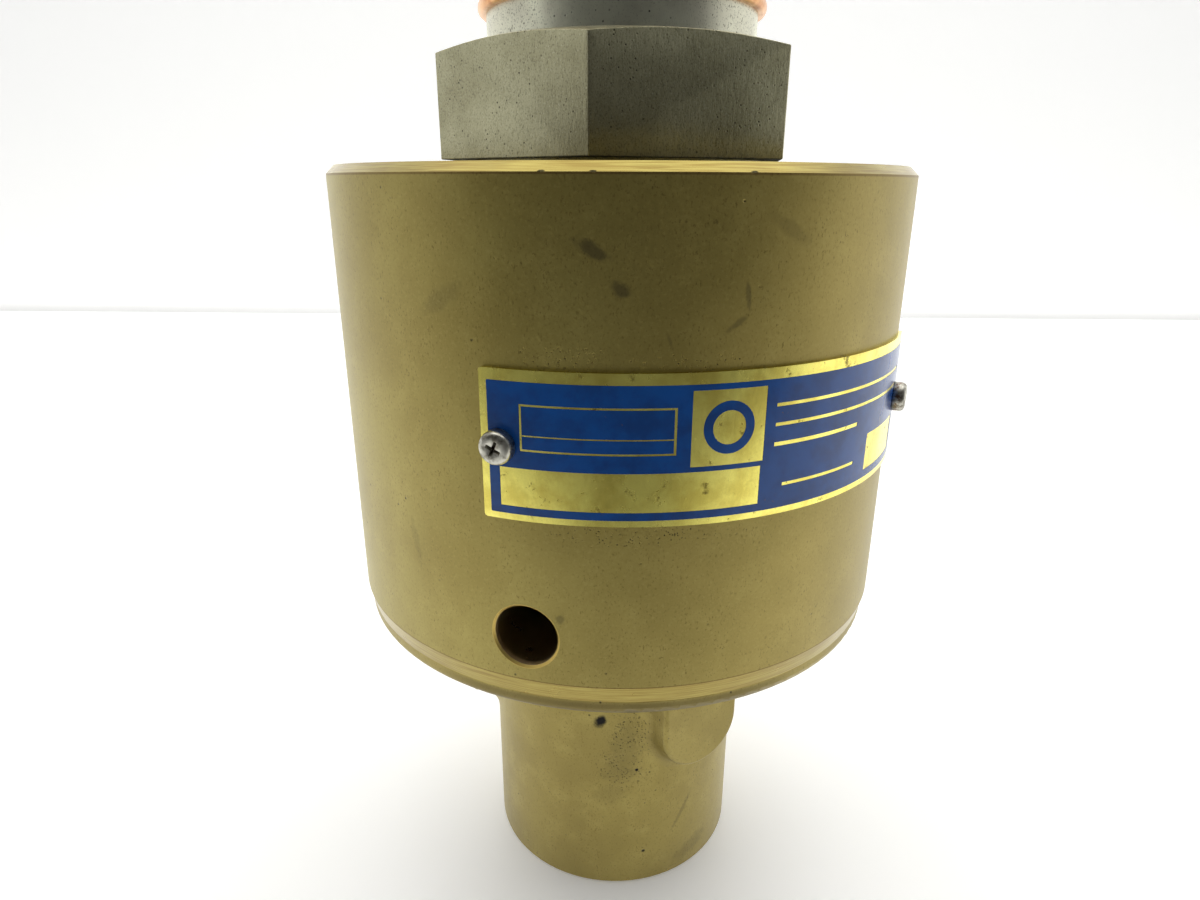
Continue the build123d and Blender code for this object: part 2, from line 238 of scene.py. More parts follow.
class Finish(Nodes):                                   # one material, on Object coordinates
    def __init__(self, name, look=None, metallic=1.0, **shader):
        self.look = look
        self.material = bpy.data.materials.new(name)
        self.material.use_nodes = True
        super().__init__(self.material.node_tree)
        self.shader = self.tree.nodes["Principled BSDF"]
        self.shader.inputs["Metallic"].default_value = metallic
        for socket, value in shader.items():
            self.shader.inputs[socket].default_value = value
        self.place = self.node("TexCoord").outputs["Object"]
        self.x, self.y, self.z = self.node("SeparateXYZ", {0: self.place}).outputs
        self.out = self.length(self.x, self.y)         # distance from the turning axis

    def tint(self, name):                              # a colour of the piece's dictionary
        return colour(*self.look[name])

    def cover(self, shade, where, name, share=1.0):    # lays a colour of the dictionary over a shade
        return self.mix(self.times(where, share), shade, self.tint(name))

    def turned(self, azimuth):                         # along the skin and out from the axis there
        turn = math.radians(azimuth)
        along = self.timesPlus(self.x, math.cos(turn), self.times(self.y, math.sin(turn)))
        return along, self.timesPlus(self.x, math.sin(turn), self.times(self.y, -math.cos(turn)))

    # Sizes, edges and distances below are in millimetres

    def noise(self, size, detail=3.0, roughness=0.55, stretch=None, shift=0.0):
        place = self.place
        if stretch or shift:
            place = self.node("Mapping", {"Vector": place, "Location": [shift] * 3,
                                          "Scale": stretch or (1, 1, 1)}).outputs[0]
        settings = {"Vector": place, "Scale": 1 / (size * mm), "Detail": detail, "Roughness": roughness}
        return self.node("TexNoise", settings).outputs[0]

    def cells(self, size, shift=0.0):                  # 0 at scattered points, rising away from each
        place = self.node("Mapping", {"Vector": self.place, "Location": [shift] * 3}).outputs[0]
        return self.node("TexVoronoi", {"Vector": place, "Scale": 1 / (size * mm)}).outputs["Distance"]

    def above(self, value, edge, soft):                # 0 below an edge and 1 above it
        return self.ramp(value, (edge - soft) * mm, (edge + soft) * mm)

    def below(self, value, edge, soft):
        return self.ramp(value, (edge + soft) * mm, (edge - soft) * mm)

    def between(self, value, low, high, soft):
        return self.times(self.above(value, low, soft), self.below(value, high, soft))

    def bump(self, height, distance, strength):
        inputs = {"Height": height, "Distance": distance * mm, "Strength": strength}
        return self.node("Bump", inputs).outputs[0]

    def spot(self, azimuth, height, halfWide, halfHigh, tilt, ragged):     # a ragged oval on the skin
        lean, ragSize = math.radians(tilt), 1.2
        along, front = self.turned(azimuth)
        rise = self.minus(self.z, height * mm)
        across = self.timesPlus(along, math.cos(lean), self.times(rise, math.sin(lean)))
        up = self.timesPlus(rise, math.cos(lean), self.times(along, -math.sin(lean)))
        across = self.math("DIVIDE", across, halfWide * mm)
        up = self.math("DIVIDE", up, halfHigh * mm)
        edge = self.timesPlus(self.noise(ragSize, 4), ragged * 2, self.length(across, up))
        facing = self.math("GREATER_THAN", front, 0)
        return self.times(facing, self.ramp(edge, 1.25 + ragged, 0.45 + ragged))

    def use(self, colour=None, roughness=None, normal=None):
        for socket, value in (("Base Color", colour), ("Roughness", roughness), ("Normal", normal)):
            if value is not None:
                self.tree.links.new(value, self.shader.inputs[socket])


def paint(node, material):
    piece = frame["nodes"][node]
    for slot in piece.material_slots:
        slot.material = material


def finishPiece(piece, material, body, slot, *replaced):
    piece.data.materials.clear()
    piece.data.materials.append(material)
    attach(piece, body)
    if replaced:
        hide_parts(*replaced)


# Cast and turned brass of the housing, sizes in millimetres

housingLook = {
    "skin": (166, 153, 87), "skinDark": (150, 135, 73), "skinLight": (186, 171, 102),
    "skinRightPaintedLight": (166, 149, 84), "fleck": (104, 88, 44), "tarnishAndShadowLine": (92, 52, 28),
    "cast": (162, 147, 82), "castDark": (146, 131, 72), "lipPaintedShade": (96, 84, 50),
    "bright": (164, 149, 80), "brightDark": (140, 120, 58),
    "rim": (208, 182, 100), "bore": (232, 210, 164), "smudge": (62, 57, 44), "pore": (16, 14, 10),
    "chamferLow": 137.8, "bandLow": 62.4, "bandTop": 65.35, "bandInner": 48.75,
    "lip": (56, 62.2), "lipFront": -42, "boreLow": 61.25, "boreRadius": 48.8,
    "inletTop": 59.5, "inletRadius": 18.8, "endFace": 0.3,
    "leakAzimuth": -15.4, "leakHeight": 72.9, "leakRadius": 5.0, "leakRim": 5.42, "leakDepth": 49.66,
    "cloudSize": 26, "patchSize": 6, "grainSize": 0.45, "fleckSize": 0.3, "streakSize": 2.2,
    "lineSize": 0.16, "castSize": 1.6, "speckSize": 2.6, "pitSize": 0.5, "glintSize": 1.7,
    "patchShare": 0.3, "streakShare": 0.25, "lightShare": 0.3, "darkShare": 0.5,
    "castPatchShare": 0.35, "castDarkShare": 0.7, "lipShadeShare": 0.6, "tarnishShare": 0.5,
    "tarnishAndShadowShare": 0.45, "speckShare": 0.7, "pitShare": 0.85, "glintShare": 0.55,
    "roughness": 0.42, "brightRoughness": 0.2, "relief": 0.05,
    "grainRelief": 0.35, "castRelief": 1.6, "poreRelief": -3.0, "lineRelief": 0.5,
    "shader": {"Coat Weight": 0.22, "Coat Roughness": 0.3, "Coat IOR": 1.5},
    "smudges": [                                       # azimuth, height, half sizes, tilt, strength
        (-3.8, 128.8, 2.5, 1.0, -28, 0.62), (0.3, 124.0, 1.5, 0.9, -30, 0.6),
        (19.4, 123.0, 0.4, 2.2, 8, 0.4), (17.9, 119.5, 1.9, 0.5, 35, 0.4),
        (-9.1, 76.6, 0.8, 0.8, 0, 0.35), (-28.0, 122.0, 4.0, 1.4, 30, 0.16),
        (26.0, 131.0, 3.6, 1.0, -28, 0.2), (-38.0, 84.0, 0.8, 4.0, 10, 0.14),
        (7.6, 117.6, 0.3, 1.3, 20, 0.3)],
    "stains": [                                        # the same, on the neck and stub
        (4.5, 32.5, 3.4, 8.0, -8, 0.17), (3.0, 28.0, 4.0, 2.4, 8, 0.14), (40.0, 4.5, 5.0, 2.0, 20, 0.2),
        (33.0, 15.0, 0.5, 5.0, -30, 0.25), (-1.0, 23.0, 3.6, 2.6, 15, 0.12)],
    "pores": [                                         # the same, with nicks under the top chamfer
        (-5.6, 40.0, 1.2, 1.5, -30, 1.0), (10.4, 28.6, 0.35, 0.35, 0, 1.0),
        (14.3, 7.9, 0.4, 0.35, 0, 0.9), (-10.8, 137.8, 0.5, 0.18, 0, 0.7),
        (-3.6, 137.8, 0.45, 0.16, 0, 0.7), (19.1, 137.8, 0.5, 0.18, 0, 0.7)],
    "pitted": [                                        # azimuth, height, half sizes of rough patches
        (8.0, 37.0, 4.6, 7.5), (-44.0, 44.0, 6.0, 5.0), (3.0, 29.0, 5.5, 5.0),
        (-8.0, 115.2, 6.0, 1.6), (12.0, 114.8, 9.0, 1.2), (4.0, 90.2, 14.0, 1.6)],
}


def spots(f, rows, ragged):                            # the strongest of several spots at each place
    total = 0.0
    for azimuth, height, wide, high, tilt, strength in rows:
        total = f.larger(f.times(f.spot(azimuth, height, wide, high, tilt, ragged), strength), total)
    return total


def makeHousingFinish():
    look = housingLook
    f = Finish("castBrassFinish", look, **look["shader"])
    clouds = f.noise(look["cloudSize"], 4, 0.6)
    patches = f.noise(look["patchSize"], 5, 0.62, shift=0.3)
    grain = f.noise(look["grainSize"], 3, 0.6, shift=0.1)
    fine = f.noise(look["fleckSize"], 3, 0.6, stretch=(1, 1, 0.6), shift=0.55)
    streaks = f.noise(look["streakSize"], 4, 0.6, stretch=(1, 1, 0.12))
    lines = f.noise(look["lineSize"], 2, 0.6, stretch=(0.02, 0.02, 1))

    # Cast below the band; bright on chamfer, band, bores and end face; the rest is aged, turned skin
    castPart = f.below(f.z, look["bandLow"], 0.05)
    band = f.between(f.z, look["bandLow"], look["bandTop"], 0.06)
    band = f.times(band, f.above(f.out, look["bandInner"], 0.15))
    bright = f.larger(f.above(f.z, look["chamferLow"], 0.05), band)
    inside = f.times(f.above(f.z, look["boreLow"], 0.25), f.below(f.out, look["boreRadius"], 0.2))
    inlet = f.times(f.below(f.out, look["inletRadius"], 0.2), f.below(f.z, look["inletTop"], 0.5))
    for zone in (inside, inlet, f.below(f.z, look["endFace"], 0.1)):
        bright = f.larger(bright, zone)

    # the right half is painted a slightly less green tone, a painted difference of light between the left
    # and right sides
    skin = f.mix(f.ramp(f.x, -0.02, 0.02), f.tint("skin"), f.tint("skinRightPaintedLight"))
    skin = f.mix(f.ramp(clouds, 0.3, 0.7), f.tint("skinDark"), skin)
    skin = f.cover(skin, f.ramp(patches, 0.45, 0.8), "skinLight", look["patchShare"])
    skin = f.cover(skin, f.ramp(streaks, 0.5, 0.8), "skinDark", look["streakShare"])
    skin = f.cover(skin, f.ramp(grain, 0.5, 0.72), "skinLight", look["lightShare"])
    skin = f.cover(skin, f.ramp(grain, 0.48, 0.28), "skinDark", look["darkShare"])

    cast = f.mix(f.ramp(clouds, 0.3, 0.7), f.tint("castDark"), f.tint("cast"))
    cast = f.cover(cast, f.ramp(patches, 0.45, 0.75), "skinLight", look["castPatchShare"])
    cast = f.cover(cast, f.ramp(grain, 0.5, 0.3), "castDark", look["castDarkShare"])
    # painted shade under the lip's front: the cast is darkened there as if in the lip's shadow
    lipPaintedShade = f.times(f.between(f.z, *look["lip"], 0.4), f.below(f.y, look["lipFront"], 4))
    cast = f.cover(cast, lipPaintedShade, "lipPaintedShade", look["lipShadeShare"])

    polished = f.mix(f.ramp(lines, 0.35, 0.65), f.tint("brightDark"), f.tint("bright"))
    polished = f.cover(polished, f.ramp(patches, 0.62, 0.72), "skinDark", look["tarnishShare"])

    shade = f.mix(castPart, skin, cast)
    flecks = f.times(f.ramp(fine, 0.54, 0.72), f.ramp(patches, 0.3, 0.7, 0.25, 0.7))
    shade = f.cover(shade, flecks, "fleck")
    shade = f.mix(bright, shade, polished)
    # reddish-brown lines: tarnish along the band's top edge, and a painted shadow line just under the
    # chamfer's lower edge
    tarnishAndShadowLines = f.larger(f.between(f.z, look["chamferLow"] - 0.3, look["chamferLow"], 0.06),
                     f.between(f.z, look["bandTop"], look["bandTop"] + 0.2, 0.06))
    shade = f.cover(shade, tarnishAndShadowLines, "tarnishAndShadowLine", look["tarnishAndShadowShare"])

    # Wear: smudges, pores and pits; and painted glints, small highlights on the turned skin
    marks = spots(f, look["smudges"] + look["stains"], 0.6)
    shade = f.cover(shade, marks, "smudge")
    rough = spots(f, [patch + (0, 1.0) for patch in look["pitted"]], 0.8)
    specks = f.times(f.ramp(f.cells(look["speckSize"]), 0.10, 0.05), f.ramp(patches, 0.5, 0.62))
    pits = f.ramp(f.cells(look["pitSize"], 0.21), 0.34, 0.18)
    pits = f.times(pits, f.times(rough, f.ramp(fine, 0.4, 0.6)))
    holes = f.larger(f.times(specks, look["speckShare"]), f.times(pits, look["pitShare"]))
    holes = f.larger(spots(f, look["pores"], 0.5), holes)
    shade = f.cover(shade, holes, "pore")
    # painted glints: small spots of the polished colour standing in for sparkles of light
    glints = f.ramp(f.cells(look["glintSize"], 0.37), 0.09, 0.04)
    glints = f.times(glints, f.minus(1.0, castPart))
    shade = f.cover(shade, glints, "bright", look["glintShare"])

    # The leak hole: a thin rim, and the wall behind it
    along, front = f.turned(look["leakAzimuth"])
    off = f.length(along, f.minus(f.z, look["leakHeight"] * mm))
    facing = f.math("GREATER_THAN", front, 0.03)
    rim = f.times(facing, f.below(off, look["leakRim"] - 0.03, 0.03))
    hole = f.times(facing, f.below(off, look["leakRadius"] + 0.015, 0.025))
    hole = f.times(hole, f.below(f.out, look["leakDepth"], 0.06))
    shade = f.cover(shade, rim, "rim")
    shade = f.cover(shade, hole, "bore")

    roughness = f.timesPlus(marks, 0.15, f.timesPlus(grain, 0.16, look["roughness"]))
    roughness = f.blendValue(bright, roughness, f.timesPlus(patches, 0.2, look["brightRoughness"]))
    height = f.times(f.noise(look["castSize"], 5, 0.6, shift=0.7), castPart)
    height = f.timesPlus(grain, look["grainRelief"], f.times(height, look["castRelief"]))
    height = f.timesPlus(holes, look["poreRelief"], height)
    height = f.timesPlus(f.times(bright, lines), look["lineRelief"], height)
    f.use(shade, roughness, f.bump(height, look["relief"], 0.7))
    return f.material


castBrass = makeHousingFinish()
paint("housing", castBrass)
print("housing finish")


# Rotor: the shaft as it is up to the washer, with a threaded end modelled on it

rotorLook = {                                          # millimetres
    "steel": (194, 191, 158), "steelDark": (162, 158, 126), "pit": (34, 30, 22),
    "collar": (231, 232, 208), "threadSteel": (200, 198, 178),
    "threadCrest": 20.955, "threadRoot": 19.477, "pitch": 2.309, "boreRadius": 12.5, "relief": 19.3,
    "join": 164.0, "runOut": 165.2, "leadIn": 1.5, "boreEdge": 1.0,
    "hexLow": 140.1, "hexTop": 157.1, "hexOut": 27.3, "hexEdge": 0.18, "collarTop": 162.6,
    "flatAngle": 0.4, "pitSides": (9, 14),             # degrees; more pits to the left and right
    "cloudSize": 14, "grainSize": 0.5, "fineSize": 0.22, "pitSize": 0.9, "pitPatches": 4,
    "darkShare": 0.7, "lightShare": 0.3, "fleckShare": 0.42, "pitShare": 0.85,
    "roughness": 0.34, "collarRoughness": 0.33, "depth": 0.06,
}


def makeRotorFinish():
    look = rotorLook
    f = Finish("rotorSteelFinish", look)
    clouds = f.noise(look["cloudSize"], 4, 0.6)
    grain = f.noise(look["grainSize"], 4, 0.65, stretch=(1, 1, 0.35))
    fine = f.noise(look["fineSize"], 2, 0.6, shift=0.2)
    flecks = f.ramp(f.noise(look["fineSize"], 3, 0.65, stretch=(1, 1, 0.7), shift=0.8), 0.5, 0.68)
    shade = f.mix(f.ramp(clouds, 0.3, 0.7), f.tint("steelDark"), f.tint("steel"))
    shade = f.cover(shade, f.ramp(grain, 0.5, 0.3), "steelDark", look["darkShare"])
    shade = f.cover(shade, f.ramp(fine, 0.55, 0.75), "collar", look["lightShare"])
    shade = f.cover(shade, flecks, "pit", look["fleckShare"])
    collar = f.above(f.z, look["hexTop"], 0.1)
    turned = f.mix(f.ramp(clouds, 0.35, 0.65), f.tint("collar"), f.tint("threadSteel"))
    near, far = look["pitSides"]
    sides = f.ramp(f.math("ABSOLUTE", f.x), near * mm, far * mm, 0.15, 0.75)
    turned = f.cover(turned, f.times(f.ramp(flecks, 0.35, 0.9), sides), "pit")
    shade = f.mix(collar, shade, turned)
    shade = f.cover(shade, f.above(f.z, look["collarTop"], 0.1), "threadSteel")
    pitted = f.ramp(f.noise(look["pitPatches"], 3, shift=0.5), 0.45, 0.6)
    pits = f.times(f.ramp(f.cells(look["pitSize"]), 0.22, 0.08), pitted)
    shade = f.cover(shade, pits, "pit", look["pitShare"])
    roughness = f.blendValue(collar, f.timesPlus(grain, 0.2, look["roughness"]),
                             f.timesPlus(grain, 0.15, look["collarRoughness"]))
    height = f.timesPlus(pits, -0.5, f.times(grain, f.timesPlus(collar, -0.8, 1.0)))
    f.use(shade, roughness, f.bump(height, look["depth"], 0.8))
    return f.material


def makeRotor():
    look = rotorLook
    join, runOut = look["join"] * mm, look["runOut"] * mm
    shaft = bpy.data.objects.new("turningRotor", frame["nodes"]["rotor"].data.copy())
    scene.collection.objects.link(shaft)
    makeActive(shaft)
    bpy.ops.mesh.customdata_custom_splitnormals_clear()
    editAll(shaft)
    bpy.ops.mesh.remove_doubles(threshold=weldGap)
    bpy.ops.mesh.bisect(plane_co=(0, 0, join), plane_no=(0, 0, 1), use_fill=True, clear_outer=True)
    bpy.ops.mesh.select_all(action="SELECT")
    bpy.ops.mesh.dissolve_limited(angle_limit=math.radians(look["flatAngle"]))
    bpy.ops.object.mode_set(mode="OBJECT")
    low, high, corner = look["hexLow"] * mm, look["hexTop"] * mm, look["hexOut"] * mm

    def isHexEdge(a, b):
        inHeight = min(a.z, b.z) > low - 0.01 * mm and max(a.z, b.z) < high - 0.05 * mm
        return inHeight and min(a.xy.length, b.xy.length) > corner

    pick(shaft, "EDGE", isHexEdge)
    bpy.ops.mesh.bevel(offset=look["hexEdge"] * mm, segments=2, affect="EDGES")
    bpy.ops.object.mode_set(mode="OBJECT")
    tidySurface(shaft)

    crest, bore = look["threadCrest"] * mm, look["boreRadius"] * mm
    relief, leadIn, boreEdge = look["relief"] * mm, look["leadIn"] * mm, look["boreEdge"] * mm
    root, pitch = look["threadRoot"] * mm, look["pitch"] * mm
    clear = crest + mm                                 # clear of the crests
    thread = threadSolid("thread", crest, root, join, rotorTop + mm, pitch)
    envelope = turnOutline("envelope", [
        (bore, join - mm), (relief, join - mm), (relief, runOut), (clear, runOut + clear - relief),
        (clear, rotorTop - leadIn - (clear - crest)), (crest - leadIn, rotorTop),
        (bore + boreEdge, rotorTop), (bore, rotorTop - boreEdge)])
    cutWith(thread, envelope, "INTERSECT")
    tidySurface(thread)
    makeActive(shaft)
    thread.select_set(True)
    bpy.ops.object.join()
    return shaft


finishPiece(makeRotor(), makeRotorFinish(), "rotor", "rotor_steel", "rotor")
print("rotor and thread")


# Copper washer

washerLook = {
    "copper": (208, 158, 104), "dark": (180, 118, 70), "bore": 21.1, "round": 0.85,
    "steps": 144, "smoothAngle": 50, "cloudSize": 5, "grainSize": 0.5, "relief": 0.03, "roughness": 0.22,
}


def makeWasher():
    look = washerLook
    startFresh()
    bore = look["bore"] * mm
    middle = ((bore + washerRadius) / 2, 0, (washerLow + washerTop) / 2)
    bpy.ops.mesh.primitive_plane_add(size=1, location=middle, rotation=(math.radians(90), 0, 0))
    bpy.context.object.scale = (washerRadius - bore, washerTop - washerLow, 1)
    ring = newest("sealingWasher")
    editAll(ring)
    bpy.ops.mesh.bevel(offset=look["round"] * mm, segments=5, affect="VERTICES")
    bpy.ops.mesh.select_all(action="SELECT")
    bpy.ops.mesh.delete(type="ONLY_FACE")
    bpy.ops.mesh.select_all(action="SELECT")
    bpy.ops.mesh.spin(steps=look["steps"], angle=math.tau, center=(0, 0, 0), axis=(0, 0, 1))
    bpy.ops.object.mode_set(mode="OBJECT")
    tidySurface(ring, look["smoothAngle"])
    return ring


def makeCopperFinish():
    look = washerLook
    f = Finish("copperFinish", look)
    clouds = f.noise(look["cloudSize"], 4, 0.6)
    shade = f.mix(f.ramp(clouds, 0.4, 0.7), f.tint("copper"), f.tint("dark"))
    relief = f.bump(f.noise(look["grainSize"], 3), look["relief"], 0.5)
    f.use(shade, f.timesPlus(clouds, 0.2, look["roughness"]), relief)
    return f.material


finishPiece(makeWasher(), makeCopperFinish(), "rotor", "copper", "copper_washer")
print("washer")


# Nameplate: brass sheet, blue ink with bare windows, two pan-head screws

plateLook = {                                          # millimetres, across measured along the face
    "left": -19.0, "right": 61.8, "corner": 0.5, "sheet": 0.56, "column": 1.0,
    "inkLeft": -17.85, "inkRight": 60.6, "inkLow": 92.95, "inkTop": 111.9, "inkCorner": 0.2,
    "brass": (252, 241, 128), "brassDark": (226, 209, 102), "stain": (96, 80, 38),
    "blue": (5, 78, 156), "blueDark": (5, 62, 128),
    "inkDepth": 0.04, "cloudSize": 7, "stainSize": 2.2, "scratchSize": 0.5, "relief": 0.012,
    "roughness": 0.16, "blueClouds": 5, "blueGrain": 0.6, "dirtSize": 1.4, "dirtPatches": 9,
    "blueRelief": 0.006, "blueRoughness": 0.14,
    "windows": [                                       # left, right, low, top of each place bare of ink
        (-16.3, 20.4, 94.1, 99.8), (9.9, 20.7, 100.5, 111.1), (43.9, 57.6, 94.2, 100.2),
        (-13.2, 7.9, 108.6, 108.9), (-13.2, 7.9, 102.3, 102.6), (-13.2, -12.9, 102.3, 108.9),
        (7.6, 7.9, 102.3, 108.9), (-13.2, 7.9, 104.4, 104.6), (22.4, 57.6, 108.0, 108.5),
        (22.4, 57.6, 105.2, 105.7), (22.4, 40.0, 102.4, 102.9), (24.3, 40.0, 96.2, 96.7)],
    "ringAcross": 15.3, "ringHeight": 105.8, "ringOuter": 3.7, "ringInner": 2.4, "ringSides": 64,
}


def uprightSheet(name, left, right, low, top, radius, corner, cutsAcross=(), cutsUp=()):
    startFresh()
    bpy.ops.mesh.primitive_plane_add(size=1, location=((left + right) / 2, -radius, (low + top) / 2),
                                     rotation=(math.radians(90), 0, 0))
    bpy.context.object.scale = (right - left, top - low, 1)
    sheet = newest(name)
    editAll(sheet)
    bpy.ops.mesh.bevel(offset=corner, segments=6, affect="VERTICES")
    count = math.ceil((right - left) / (plateLook["column"] * mm))
    columns = [left + (right - left) * i / count for i in range(1, count)]
    for across in columns + list(cutsAcross):
        bpy.ops.mesh.select_all(action="SELECT")
        bpy.ops.mesh.bisect(plane_co=(across, 0, 0), plane_no=(1, 0, 0))
    for height in cutsUp:
        bpy.ops.mesh.select_all(action="SELECT")
        bpy.ops.mesh.bisect(plane_co=(0, 0, height), plane_no=(0, 0, 1))
    bpy.ops.object.mode_set(mode="OBJECT")
    return sheet


def thicken(sheet, thickness):                         # away from its front, which faces -Y
    makeActive(sheet)
    wall = sheet.modifiers.new("wall", "SOLIDIFY")
    wall.thickness = thickness
    wall.offset = -1
    bpy.ops.object.modifier_apply(modifier=wall.name)


def makePlate():
    look = plateLook
    inkDepth = look["inkDepth"] * mm
    plate = uprightSheet("plateSheet", look["left"] * mm, look["right"] * mm, plateLow, plateTop,
                         plateFace - inkDepth, look["corner"] * mm)
    thicken(plate, look["sheet"] * mm)
    bendRoundBody(plate)
    tidySurface(plate)
    windows = [[value * mm for value in window] for window in look["windows"]]
    edgesAcross = sorted({edge for window in windows for edge in window[:2]})
    edgesUp = sorted({edge for window in windows for edge in window[2:]})
    sheet = uprightSheet("plateInk", look["inkLeft"] * mm, look["inkRight"] * mm, look["inkLow"] * mm,
                         look["inkTop"] * mm, plateFace, look["inkCorner"] * mm, edgesAcross, edgesUp)

    def bare(centre, normal):
        return any(a < centre.x < b and low < centre.z < top for a, b, low, top in windows)

    pick(sheet, "FACE", bare)
    bpy.ops.mesh.delete(type="FACE")
    bpy.ops.object.mode_set(mode="OBJECT")
    startFresh()
    middle = (look["ringAcross"] * mm, -plateFace, look["ringHeight"] * mm)
    bpy.ops.mesh.primitive_circle_add(vertices=look["ringSides"], radius=look["ringOuter"] * mm,
                                      fill_type="NGON", location=middle,
                                      rotation=(math.radians(90), 0, 0))
    ring = newest("ring")
    editAll(ring, "FACE")
    bpy.ops.mesh.inset(thickness=(look["ringOuter"] - look["ringInner"]) * mm, depth=0)
    bpy.ops.mesh.delete(type="FACE")
    bpy.ops.object.mode_set(mode="OBJECT")
    makeActive(sheet)
    ring.select_set(True)
    bpy.ops.object.join()
    thicken(sheet, inkDepth)
    bendRoundBody(sheet)
    tidySurface(sheet)
    return plate, sheet


def makePlateBrass():
    look = plateLook
    f = Finish("plateBrassFinish", look)
    clouds = f.noise(look["cloudSize"], 5, 0.65)
    scratches = f.noise(look["scratchSize"], 3, 0.6, stretch=(1, 1, 0.3))
    shade = f.mix(f.ramp(clouds, 0.4, 0.65), f.tint("brass"), f.tint("brassDark"))
    stains = f.times(f.ramp(f.noise(look["stainSize"], 5, 0.7, shift=0.4), 0.6, 0.7), 0.75)
    shade = f.cover(shade, stains, "stain")
    roughness = f.timesPlus(scratches, 0.16, f.timesPlus(stains, 0.3, look["roughness"]))
    f.use(shade, roughness, f.bump(f.timesPlus(stains, -0.5, scratches), look["relief"], 0.6))
    return f.material


def makePlateBlue():
    look = plateLook
    f = Finish("plateBlueFinish", look, metallic=0.0, IOR=1.45)
    clouds = f.noise(look["blueClouds"], 4, 0.6)
    shade = f.mix(f.ramp(clouds, 0.35, 0.7), f.tint("blue"), f.tint("blueDark"))
    patches = f.ramp(f.noise(look["dirtPatches"], 2, shift=0.2), 0.5, 0.62)
    dirt = f.ramp(f.noise(look["dirtSize"], 5, 0.7, shift=0.9), 0.64, 0.72)
    shade = f.cover(shade, f.times(dirt, patches), "stain", 0.6)
    relief = f.bump(f.noise(look["blueGrain"], 3), look["blueRelief"], 0.5)
    f.use(shade, f.timesPlus(clouds, 0.14, look["blueRoughness"]), relief)
    return f.material


screwLook = {                                          # millimetres and degrees
    "azimuths": (-18.4, 67.0), "height": 102.8, "radius": 2.45, "head": 2.0, "shank": 1.25, "depth": 4.8,
    "round": 1.15, "slotWide": 0.62, "slotLong": 3.0, "slotDeep": 1.1, "slotTaper": 0.55, "turn": 24,
    "sides": 64, "edge": 0.07, "edgeAngle": 50, "smoothAngle": 40, "rustDepth": (1.1, 1.75),
    "cloudSize": 1.3, "rustSize": 0.7, "grainSize": 0.4, "relief": 0.02, "roughness": 0.22,
    "zinc": (196, 194, 182), "dull": (120, 116, 104), "rust": (96, 52, 26),
}


def makeScrew(name):                                   # at the front, its head outward along -Y
    look = screwLook
    startFresh()
    seat, head = plateFace, look["head"] * mm
    bpy.ops.mesh.primitive_cylinder_add(vertices=look["sides"], radius=look["radius"] * mm, depth=head,
                                        location=(0, -seat - head / 2, look["height"] * mm),
                                        rotation=(math.radians(90), 0, 0))
    screw = newest(name)
    front = -seat - head
    pick(screw, "EDGE", lambda a, b: abs(a.y - front) < 0.01 * mm and abs(b.y - front) < 0.01 * mm)
    bpy.ops.mesh.bevel(offset=look["round"] * mm, segments=7, affect="EDGES", profile=0.6)
    pick(screw, "FACE", lambda centre, normal: normal.y > 0.9)
    bpy.ops.mesh.inset(thickness=(look["radius"] - look["shank"]) * mm, depth=0)
    bpy.ops.mesh.extrude_region_move(TRANSFORM_OT_translate={"value": (0, look["depth"] * mm, 0)})
    bpy.ops.object.mode_set(mode="OBJECT")
    middle, taper = (0, front, look["height"] * mm), look["slotTaper"]
    for angle in (look["turn"], look["turn"] + 90):
        startFresh()
        bpy.ops.mesh.primitive_cube_add(size=1, location=middle, rotation=(0, math.radians(angle), 0))
        size = (look["slotLong"], 2 * look["slotDeep"], look["slotWide"])
        bpy.context.object.scale = [length * mm for length in size]
        slot = newest("slot")
        pick(slot, "FACE", lambda centre, normal: normal.y > 0.9)
        bpy.ops.transform.resize(value=(taper, 1, taper), center_override=middle)
        bpy.ops.object.mode_set(mode="OBJECT")
        cutWith(screw, slot)
    makeActive(screw)
    edge = screw.modifiers.new("edge", "BEVEL")
    edge.width = look["edge"] * mm
    edge.segments = 2
    edge.limit_method = "ANGLE"
    edge.angle_limit = math.radians(look["edgeAngle"])
    bpy.ops.object.modifier_apply(modifier=edge.name)
    tidySurface(screw, look["smoothAngle"])
    return screw


def makeScrewFinish():
    look = screwLook
    f = Finish("screwZincFinish", look)
    clouds = f.noise(look["cloudSize"], 4, 0.65)
    shade = f.mix(f.ramp(clouds, 0.42, 0.66), f.tint("zinc"), f.tint("dull"))
    deepest, shallowest = look["rustDepth"]            # out from the plate's face
    deep = f.ramp(f.out, plateFace + shallowest * mm, plateFace + deepest * mm)
    rust = f.times(f.ramp(f.noise(look["rustSize"], 4, 0.7, shift=0.6), 0.5, 0.6), deep)
    shade = f.cover(shade, rust, "rust", 0.8)
    relief = f.bump(f.noise(look["grainSize"], 3), look["relief"], 0.5)
    f.use(shade, f.timesPlus(clouds, 0.25, look["roughness"]), relief)
    return f.material


plate, ink = makePlate()
finishPiece(plate, makePlateBrass(), "housing", "plate", "nameplate")
finishPiece(ink, makePlateBlue(), "housing", "plate")
zinc = makeScrewFinish()
for side, azimuth in zip(("left", "right"), screwLook["azimuths"]):
    screw = makeScrew(side + "PlateScrew")
    standRound(screw, azimuth)
    finishPiece(screw, zinc, "housing", "screw_zinc", "plate_screws")
print("plate and screws")


# Inlet thread, a ridge on the bore's wall

inletLook = {                                          # millimetres
    "bore": 16.6, "minor": 15.145, "skin": 17.0, "pitch": 2.309, "start": 0.7, "end": 19.4, "edge": 1.85,
}


